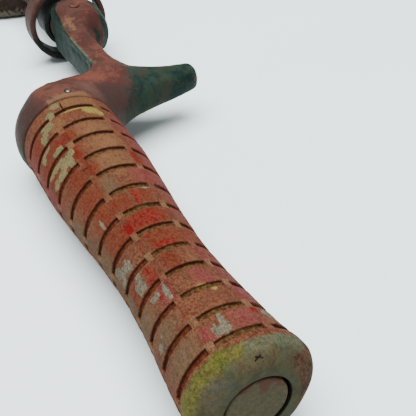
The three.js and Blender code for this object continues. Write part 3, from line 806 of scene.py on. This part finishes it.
# The spur, from the shoulder outwards: distance sideways, rear edge, front edge and half height.
SPUR_STATIONS = [
    (-7, 129, 150, 13.0), (0, 129, 157.5, 13.2), (8, 129.5, 160.5, 12.2), (15, 131, 161.8, 10.9),
    (20, 133, 165, 9.8), (25, 136, 170, 8.9), (30, 138.4, 167, 7.9), (35, 140.2, 163, 7.1),
    (42, 142, 159.4, 6.1), (49.5, 143.7, 157.0, 5.3), (54, 145, 156.0, 4.9), (60, 147, 155, 4.7),
]
SPUR_END = -57.8
SOCKET_RADIUS = 14.6
SOCKET_END = 136.6
STUD_HOLE_RADIUS = 4.3
STUD_HOLE_END = 143.3
SCREW_HOLE_RADIUS = 6.2
SCREW_HOLE_START = 202.7
SCREW_Y = (SCREW_AXIS.y - GRIP_AXIS.y) / MM
CROSS_PIN_X = 208
CROSS_PIN_RADIUS = 1.98
CROSS_PIN_ROUNDING = 0.12
PIN_X = 131.6
PIN_HOLE_RADIUS = 0.87
PIN_ANGLE = 97


def smooth_min(a, b, width):
    """The nearer of two distances, blended where they are within width of each other."""
    share = np.clip(0.5 + 0.5 * (b - a) / width, 0, 1)
    return b * (1 - share) + a * share - width * share * (1 - share)


def smooth_max(a, b, width):
    return -smooth_min(-a, -b, width)


def outline_distance(u, v, outline):
    """The signed distance in a plane to a closed outline; negative inside."""
    nearest = np.full(len(u), np.inf)
    inside = np.zeros(len(u), dtype=bool)
    for (u0, v0), (u1, v1) in zip(outline, outline[1:] + outline[:1]):
        du, dv = u1 - u0, v1 - v0
        t = np.clip(((u - u0) * du + (v - v0) * dv) / (du * du + dv * dv), 0, 1)
        nearest = np.minimum(nearest, np.hypot(u - u0 - t * du, v - v0 - t * dv))
        if dv:
            inside ^= ((v0 > v) != (v1 > v)) & (u < u0 + (v - v0) / dv * du)
    return np.where(inside, -nearest, nearest)


def box_distance(place, low, high, rounding):
    """The signed distance to a box with rounded edges."""
    middle = (np.array(low) + np.array(high)) / 2
    half = (np.array(high) - np.array(low)) / 2 - rounding
    beyond = np.abs(place - middle) - half
    return np.linalg.norm(np.maximum(beyond, 0), axis=1) + np.minimum(beyond.max(axis=1), 0) - rounding


def settle(obj, distance, rounds=8):
    """Moves every point of a mesh onto the surface where distance is 0. Distances are in mm."""
    probe = 0.02
    place = in_mm(obj)
    for step in range(rounds):
        here = distance(place)
        ahead = [distance(place + probe * axis) - here for axis in np.eye(3)]
        slope = np.stack(ahead, axis=1) / probe
        size = np.maximum((slope**2).sum(axis=1), 0.2)
        move = np.clip(here / size, -1.2, 1.2)
        place = place - slope * move[:, None]
        if step < rounds - 3:
            move_to(obj, place * MM + BUTT_MIDDLE)
            relax(obj, 1, 0.5)
            place = in_mm(obj)
    move_to(obj, place * MM + BUTT_MIDDLE)


def casting_distance(place):
    x, y, z = place.T
    reach = np.hypot(y, z)
    screw_reach = np.hypot(y - SCREW_Y, z)
    bolster = outline_distance(x, reach, BOLSTER_OUTLINE)
    out, rear, front, half = np.array(SPUR_STATIONS).T
    rear, front, half = (np.interp(-y, out, values) for values in (rear, front, half))
    middle, reach_x = (rear + front) / 2, (front - rear) / 2
    power = 2.3 + 0.5 * smoothstep(20, 50, -y)
    sag = 0.9 * smoothstep(25, 48, -y)
    round_part = ((np.abs(x - middle) / reach_x) ** power + (np.abs(z + sag) / half) ** power) ** (1 / power)
    spur = (round_part - 1) * np.minimum(reach_x, half)
    spur = smooth_max(smooth_max(spur, y - 7, 3), SPUR_END - y, 3)
    neck_low = (NECK_START, NECK_LEFT - NECK_WIDTH, NECK_FOOT)
    neck = box_distance(place, neck_low, (NECK_END, NECK_LEFT, NECK_TOP), 1.5)
    hub = outline_distance(x, screw_reach, HUB_OUTLINE)
    arm = smooth_min(neck, hub, 6)
    arm = smooth_max(smooth_max(arm, y - NECK_LEFT, 1.6), HUB_FOOT - z, 2)
    arm = smooth_max(arm, x - HUB_END, 0.6)
    body = smooth_min(smooth_min(bolster, spur, 5), arm, 5)
    body = smooth_max(body, CASTING_START - x, 1.2)
    socket = np.maximum(reach - SOCKET_RADIUS, x - SOCKET_END)
    stud_hole = np.maximum(reach - STUD_HOLE_RADIUS, x - STUD_HOLE_END)
    screw_hole = np.maximum(screw_reach - SCREW_HOLE_RADIUS, SCREW_HOLE_START - x)
    angle = math.radians(PIN_ANGLE)
    pin_axis = np.array([0, math.cos(angle), math.sin(angle)])
    from_pin = place - np.array([PIN_X, 0, 0])
    out_along = from_pin @ pin_axis
    pin_hole = np.linalg.norm(from_pin - out_along[:, None] * pin_axis, axis=1) - PIN_HOLE_RADIUS
    pin_hole = np.maximum(pin_hole, 10 - out_along)
    cross_hole = np.hypot(x - CROSS_PIN_X, y - SCREW_Y) - CROSS_PIN_RADIUS - 0.07
    holes = np.min([socket, stud_hole, screw_hole, pin_hole, cross_hole], axis=0)
    return np.maximum(body, -holes)



def make_casting():
    casting = remeshed("cranked_handle", "handle_casting", 0.6 * MM)
    settle(casting, casting_distance, 10)
    place = in_mm(casting)
    x, y, z = place.T
    facing = normals(casting)
    inside = socket_mask(x, y, z)
    shift = 0.12 * noise_at(place * 0.11, 1.0, 4.0) + 0.05 * noise_at(place * 0.6, 1.0, 9.0) - 0.12
    along = smoothstep(156, 164, x) * (1 - smoothstep(190, 197, x))
    on_left = smoothstep(0.5, 0.9, facing[:, 1])
    groove = along * on_left * np.exp(-(((z - 3.2) / 1.0) ** 2))
    top = smoothstep(0.5, 0.9, facing[:, 2])
    hollow = along * top * np.exp(-(((y - NECK_LEFT + 3.4) / 0.9) ** 2))
    shift -= 0.5 * groove + 0.5 * hollow
    move_to(casting, positions(casting) + facing * (shift * ~inside)[:, None] * MM)
    sharpen(casting, 50)

    # The spur and the lobe take real green paint; the downward faces and the bolster's lower left side take
    # the same dark teal as painted shade.
    spur = smoothstep(15, 42, -y - 0.5 * (x - 150)) * (1 - smoothstep(172, 180, x))
    left_face = smoothstep(0.35, 0.75, facing[:, 1]) * smoothstep(150, 158, x)
    painted_underside_shade = smoothstep(-0.2, -0.7, facing[:, 2]) * smoothstep(150, 160, x)
    lobe = smoothstep(SCREW_Y - 6, SCREW_Y - 10.5, y) * smoothstep(192, 198, x)
    cup_left_shade = smoothstep(-6, 6, y) * smoothstep(10, -2, z) * (1 - smoothstep(146, 152, x))
    teal_paint_and_shade = 0.95 * spur + 0.9 * painted_underside_shade + 0.9 * lobe + 0.46 * cup_left_shade + 0.75 * inside
    store(casting, "teal_paint_and_shade", np.clip(teal_paint_and_shade, 0, 1))
    # The bolster's flanks, left and right, are marked to be painted darker, as painted shade.
    shaded_sides = np.maximum(smoothstep(2, 12, y), smoothstep(-12, -16, y))
    store(casting, "painted_flank_shade", 0.75 * shaded_sides * (1 - smoothstep(140, 150, x)))
    store(casting, "grey", np.clip(0.95 * left_face + 0.5 * smoothstep(211, 214, x), 0, 1))
    shoulder = np.exp(-(((x - 150) / 8) ** 2) - (((y + 14) / 9) ** 2)) * smoothstep(0.2, 0.8, facing[:, 2])
    ridge = along * top * np.exp(-(((y - NECK_LEFT + 6.0) / 1.6) ** 2))
    spur_root = np.exp(-(((x - 152) / 7) ** 2) - (((y + 25) / 5) ** 2))
    store(casting, "scuff", np.clip(0.50 * shoulder + 0.42 * ridge + 0.40 * spur_root, 0, 1))
    orange = np.exp(-(((x - 200) / 6) ** 2) - (((y + 25) / 3.0) ** 2)) * smoothstep(0.1, 0.7, facing[:, 2])
    turn = np.degrees(np.arctan2(z, y))
    cup_rim = smoothstep(133.5, 129.5, x) * smoothstep(55, 75, turn) * smoothstep(140, 115, turn)
    store(casting, "orange", np.maximum(0.62 * orange, 0.66 * cup_rim))
    # Painted highlight: a pale line along the neck's top left ridge, on faces turned upwards.
    ridge_highlight = along * smoothstep(0.2, 0.6, facing[:, 2]) * np.exp(-(((y - NECK_LEFT + 0.9) / 0.9) ** 2))
    store(casting, "pale", 0.6 * ridge_highlight)
    store(casting, "edge", edge_wear(casting))
    return casting


def socket_mask(x, y, z):
    """The bores' walls, which the surface noise leaves alone."""
    grip_socket = (x < 138) & (np.hypot(y, z) < 15.6)
    stud_hole = (x < 145) & (np.hypot(y, z) < 5.2)
    screw_hole = (x > 200) & (np.hypot(y - SCREW_Y, z) < 7.2)
    return grip_socket | stud_hole | screw_hole


# ---- the screw, ring, washer and pad ----


JOURNAL_RADIUS = 5.95
THREAD_DEPTH = 1.45
PAD_SCREW_BORE = 2.6


def make_screw():
    """The clamping screw: a plain journal in the hub, then a rounded right-hand thread to its tip."""
    columns = 72
    tip = SCREW_HIGH.x / MM
    bore_end = tip - 8.2
    journal = SCREW_LOW.x / MM
    thread_start = CASTING_HIGH.x / MM + 0.35
    crest = (SCREW_HIGH.z - SCREW_LOW.z) / 2 / MM - 0.03
    root = crest - THREAD_DEPTH
    pitch = SCREW_PITCH / MM
    turn = np.arange(columns) * 2 * math.pi / columns
    rows = [(journal + 0.02, JOURNAL_RADIUS - 0.55, 0), (journal + 0.6, JOURNAL_RADIUS, 0)]
    rows += [(thread_start, JOURNAL_RADIUS, 0), (thread_start, root, 0)]
    runout = 3.0
    for x in np.arange(thread_start + 0.25, tip - 0.3, 0.25):
        fade = min(1, (x - thread_start) / runout, (tip - x) / 1.6)
        rows.append((x, root, max(0.0, fade)))
    rows += [(tip, root - 0.4, 0), (tip, PAD_SCREW_BORE, 0), (bore_end, PAD_SCREW_BORE, 0)]
    rings = []
    for x, radius, fade in rows:
        phase = (x / pitch - turn / (2 * math.pi)) % 1
        crown = smoothstep(0.22, 0.72, np.abs(2 * phase - 1))
        r = radius + (crest - root) * fade * crown
        rings.append(np.stack([np.full(columns, x), r * np.cos(turn), r * np.sin(turn)], axis=1))
    vertices = np.concatenate(rings) * MM + np.array([0, SCREW_AXIS.y, SCREW_AXIS.z])
    faces = [tuple(f) for f in grid_faces(len(rows), columns)]
    points = [tuple(v) for v in vertices]
    close_ends(points, faces, columns, SCREW_AXIS, rows[0][0] * MM, bore_end * MM)
    screw = make_object("threaded_screw", points, faces)
    face_outwards(screw)
    sharpen(screw, 50)
    return screw


RING_START = 220.5
RING_END = 230.0
RING_BOSS_END = 232.5


def rectangle(start, end, inner, outer):
    return [(start, inner), (start, outer), (end, outer), (end, inner)]


def ring_distance(place):
    x, y, z = place.T
    reach = np.hypot(y - SCREW_Y, z)
    rim_outline = rectangle(RING_START + 1.2, RING_END - 1.2, 15.8, 16.4)
    rim = outline_distance(x, reach, rim_outline) - 1.15
    spokes_low = (RING_START + 2, SCREW_Y - 2.5, -15.6)
    spokes = box_distance(place, spokes_low, (RING_END - 0.5, SCREW_Y + 2.5, 15.6), 1.0)
    boss_outline = rectangle(RING_START + 0.6, RING_BOSS_END - 0.6, 6, 10.3)
    boss = outline_distance(x, reach, boss_outline) - 0.55
    whole = smooth_min(smooth_min(rim, spokes, 2.5), boss, 2.5)
    whole = smooth_max(whole, reach - 17.55, 0.5)
    return np.maximum(whole, 9.0 - reach)


def make_ring():
    ring = remeshed("spoked_lock_ring", "lock_ring", 0.4 * MM)
    settle(ring, ring_distance)
    place = in_mm(ring)
    facing = normals(ring)
    reach = np.hypot(place[:, 1] - SCREW_Y, place[:, 2])
    shift = (0.06 * noise_at(place * 0.2, 1.0, 2.0) - 0.06) * (reach > 9.6)
    move_to(ring, positions(ring) + facing * shift[:, None] * MM)
    sharpen(ring, 50)
    # The ring's lower part and inner wall are marked to be painted near black, as painted shade.
    low = smoothstep(3, -9, place[:, 2])
    inner = 1 - smoothstep(14.6, 15.2, reach)
    store(ring, "dark", np.clip(0.9 * low + 0.8 * inner, 0, 1))
    return ring


def turned_from_box(name, node, axis, inner, edge):
    """A ring just inside a CAD node's length and outer radius, with this bore and rounded edges."""
    low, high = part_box(node)
    outer = (high.z - low.z) / 2 - 0.03 * MM
    start, end = low.x + 0.02 * MM, high.x - 0.02 * MM
    middle = (inner + outer) / 2
    profile = [(start, middle), (start, outer), (end, outer), (end, inner), (start, inner), (start, middle)]
    return revolve(name, rounded(profile, edge)[:-1], axis)


def make_pad():
    recess = 2.6 * MM
    start, end = PAD_LOW.x + 0.02 * MM, PAD_HIGH.x - 0.02 * MM
    outer = (PAD_HIGH.z - PAD_LOW.z) / 2 - 0.05 * MM
    neck = 7 * MM
    socket = 4.5 * MM
    bore = 2.5 * MM
    profile = [(start, neck), (start, outer), (start + 3 * MM, outer - 0.6 * MM), (end - 2.4 * MM, outer)]
    profile += [(end, outer), (end, socket), (end - recess, socket), (end - recess, bore), (start, bore)]
    profile += [(start, neck)]
    return revolve("swivel_pad", rounded(profile, 0.8 * MM)[:-1], SCREW_AXIS)


def softened(name, node, bevel):
    """A copy of a CAD node's mesh with its sharp edges bevelled."""
    shape = bmesh.new()
    shape.from_mesh(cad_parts[node].data)
    bmesh.ops.remove_doubles(shape, verts=shape.verts, dist=1e-6)
    bmesh.ops.dissolve_limit(shape, angle_limit=math.radians(1), verts=shape.verts, edges=shape.edges)
    mesh = bpy.data.meshes.new(name)
    shape.to_mesh(mesh)
    shape.free()
    made = new_object(name, mesh)
    modifier = made.modifiers.new("edges", "BEVEL")
    modifier.width = bevel
    modifier.segments = 2
    modifier.limit_method = "ANGLE"
    modifier.angle_limit = math.radians(40)
    apply_modifiers(made)
    sharpen(made, 40)
    return made


HEAD_X = 324
HEAD_RADIUS = 47
NOSE_X = 342
NOSE_RADIUS = 30
EYE_START = 294
EYE_HALF = 24
EYE_APEX = 357
JAW_START = EYE_APEX - EYE_HALF / math.tan(math.radians(54))
EYE_CORNER = 6


def eye_outline():
    """The eye's outline about the screw's axis: a square with two round corners and a V for the jaw."""
    corner = []
    middle = (EYE_START + EYE_CORNER, EYE_HALF - EYE_CORNER)
    for i in range(7):
        turn = math.radians(90 + 15 * i)
        corner.append((middle[0] + EYE_CORNER * math.cos(turn), middle[1] + EYE_CORNER * math.sin(turn)))
    upper = [(EYE_APEX, 0), (JAW_START, EYE_HALF)] + corner
    return upper + [(x, -y) for x, y in reversed(upper[1:])]


EYE_OUTLINE = eye_outline()


def pear_distance(u, v):
    """The distance in a plane to the straight-sided hull of the head's two arcs."""
    length = NOSE_X - HEAD_X
    sine = (HEAD_RADIUS - NOSE_RADIUS) / length
    cosine = math.sqrt(1 - sine * sine)
    u, v = u - HEAD_X, np.abs(v)
    along = cosine * u - sine * v
    near = np.hypot(u, v) - HEAD_RADIUS
    far = np.hypot(u - length, v) - NOSE_RADIUS
    side = cosine * v + sine * u - HEAD_RADIUS
    return np.where(along < 0, near, np.where(along > cosine * length, far, side))


def head_distance(place):
    x, y, z = place.T
    pear = pear_distance(x, y - SCREW_Y)
    plate = smooth_max(pear, np.abs(z) - 17.95, 5.5)
    eye = outline_distance(x, y - SCREW_Y, EYE_OUTLINE)
    plate = smooth_max(plate, -eye, 2.2)
    bore = np.maximum(np.hypot(y - SCREW_Y, z) - 9.0, x - 300)
    return smooth_max(plate, -bore, 0.6)


def make_bolster_pin():
    """A small bright pin set radially in the bolster's skirt, its domed head just proud of the surface."""
    angle = math.radians(PIN_ANGLE)
    profile = [(12.4, 0), (12.4, 0.8), (17.6, 0.84), (17.85, 0.6), (17.92, 0)]
    pin = revolve("bright_bolster_pin", [(x * MM, r * MM) for x, r in profile], Vector((0, 0, 0)), 32)
    points = positions(pin)
    out, across, along = points.T
    y = out * math.cos(angle) - across * math.sin(angle)
    z = out * math.sin(angle) + across * math.cos(angle)
    turned = np.stack([along, y, z], axis=1)
    move_to(pin, turned + BUTT_MIDDLE + np.array([PIN_X * MM, 0, 0]))
    face_outwards(pin)
    sharpen(pin, 50)
    return pin


def make_cross_pin():
    """The pin through the hub, upright, filed level with the hub at the top and painted with it."""
    low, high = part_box("hub_cross_pin")
    middle = (low + high) / 2
    radius = CROSS_PIN_RADIUS * MM
    top = SCREW_AXIS.z + 13.05 * MM
    corners = [(low.z, 0), (low.z, radius), (top, radius), (top, 0)]
    pin = revolve("cross_pin", rounded(corners, CROSS_PIN_ROUNDING * MM), Vector((0, 0, 0)), 40)
    points = positions(pin)
    move_to(pin, np.stack([points[:, 1] + middle.x, points[:, 2] + middle.y, points[:, 0]], axis=1))
    face_outwards(pin)
    sharpen(pin, 50)
    return pin


def make_head():
    head = remeshed("eye_head", "head_casting", 0.9 * MM)
    settle(head, head_distance)
    place = in_mm(head)
    facing = normals(head)
    bore = (np.hypot(place[:, 1] - SCREW_Y, place[:, 2]) < 10.5) & (place[:, 0] < 296)
    shift = (0.22 * noise_at(place * 0.06, 1.0, 6.0) + 0.08 * noise_at(place * 0.5, 1.0, 1.0) - 0.28) * ~bore
    move_to(head, positions(head) + facing * shift[:, None] * MM)
    sharpen(head, 50)
    store(head, "edge", edge_wear(head, 5))
    return head


# ---- put together ----


def place_piece(piece, body, node, material):
    piece.data.materials.clear()
    piece.data.materials.append(material)
    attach(piece, body)
    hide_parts(node)


fastener = steel_material("fastener_steel", (0.22, 0.21, 0.19), (0.42, 0.40, 0.37), (0.16, 0.09, 0.05), 0.42)
bright = steel_material("bright_pin", (0.55, 0.53, 0.48), (0.75, 0.73, 0.68), (0.40, 0.30, 0.20), 0.35)
oil, worn_steel, brown_rust = (0.045, 0.036, 0.030), (0.11, 0.085, 0.065), (0.085, 0.042, 0.022)
screw_metal = steel_material("oily_screw", oil, worn_steel, brown_rust, 0.5, 0.7)
iron = iron_material()

place_piece(make_grip(), "handle", "grip", grip_material())
place_piece(make_plug(), "handle", "butt_plug", plug_material())
casting_paint = casting_material()
place_piece(make_casting(), "handle", "handle_casting", casting_paint)
place_piece(make_screw(), "handle", "clamp_screw", screw_metal)
place_piece(make_ring(), "ring", "lock_ring", ring_material())
washer_bore = (SCREW_HIGH.z - SCREW_LOW.z) / 2 + 0.3 * MM
lock_washer = turned_from_box("lock_washer_ring", "lock_washer", SCREW_AXIS, washer_bore, 0.4 * MM)
place_piece(lock_washer, "washer", "lock_washer", screw_metal)
place_piece(make_pad(), "pad", "pressure_pad", iron)
place_piece(make_head(), "head", "head_casting", iron)
pad_screw = softened("pad_screw_head", "pad_screw", 0.35 * MM)
place_piece(pad_screw, "handle", "pad_screw", fastener)
place_piece(make_cross_pin(), "handle", "hub_cross_pin", casting_paint)
place_piece(make_bolster_pin(), "handle", "bolster_pin", bright)
for node in ("grip_stud", "stud_washer", "stud_nut"):
    place_piece(softened(node + "_steel", node, 0.3 * MM), "handle", node, fastener)


# ---- floor, light and camera ----


def paper_material():
    s = Shader("pale_floor")
    colour = s.mix(s.step(s.noise(9, 2), 0.35, 0.65), (0.86, 0.92, 0.91, 1), (0.88, 0.935, 0.925, 1))
    return s.finish(colour, s.step(s.noise(14, 2), 0.3, 0.7, 0.55, 0.6), specular=0.2)


def make_floor():
    half = 4.0
    corners = [(-half, -half, 0), (half, -half, 0), (half, half, 0), (-half, half, 0)]
    floor = make_object("floor", corners, [(0, 1, 2, 3)])
    floor.location.z = -0.1 * MM
    floor.data.materials.append(paper_material())


def add_softbox():
    light = bpy.data.lights.new("softbox", "AREA")
    light.shape = "DISK"
    light.size = 2.8
    light.energy = 200.0
    light.color = (0.93, 1.0, 1.0)
    holder = new_object("softbox", light)
    holder.location = (-0.15, 0.15, 2.4)
    aim = Vector((-0.05, 0, 0)) - holder.location
    holder.rotation_mode = "QUATERNION"
    holder.rotation_quaternion = aim.to_track_quat("-Z", "Y")


def add_world():
    world = bpy.data.worlds.new("studio")
    world.use_nodes = True
    background = world.node_tree.nodes["Background"]
    background.inputs["Color"].default_value = (0.86, 0.93, 0.95, 1)
    background.inputs["Strength"].default_value = 0.42
    bpy.context.scene.world = world


CAMERA_PLACE = (-0.2852, 0.08595, 0.1648)
CAMERA_FORWARD = (0.7146, -0.3336, -0.6148)
CAMERA_UP = (0.5329, -0.3096, 0.7874)
CAMERA_LENS = 68.12


def add_camera():
    camera = bpy.data.cameras.new("camera")
    camera.lens = CAMERA_LENS
    camera.sensor_width = 36
    camera.dof.use_dof = False
    holder = new_object("camera", camera)
    forward = Vector(CAMERA_FORWARD)
    holder.rotation_mode = "QUATERNION"
    up = Vector(CAMERA_UP)
    right = forward.cross(up).normalized()
    turn = Matrix((right, right.cross(forward).normalized(), -forward.normalized())).transposed()
    holder.rotation_quaternion = turn.to_quaternion()
    holder.location = CAMERA_PLACE
    bpy.context.scene.camera = holder


make_floor()
add_world()
add_softbox()
add_camera()
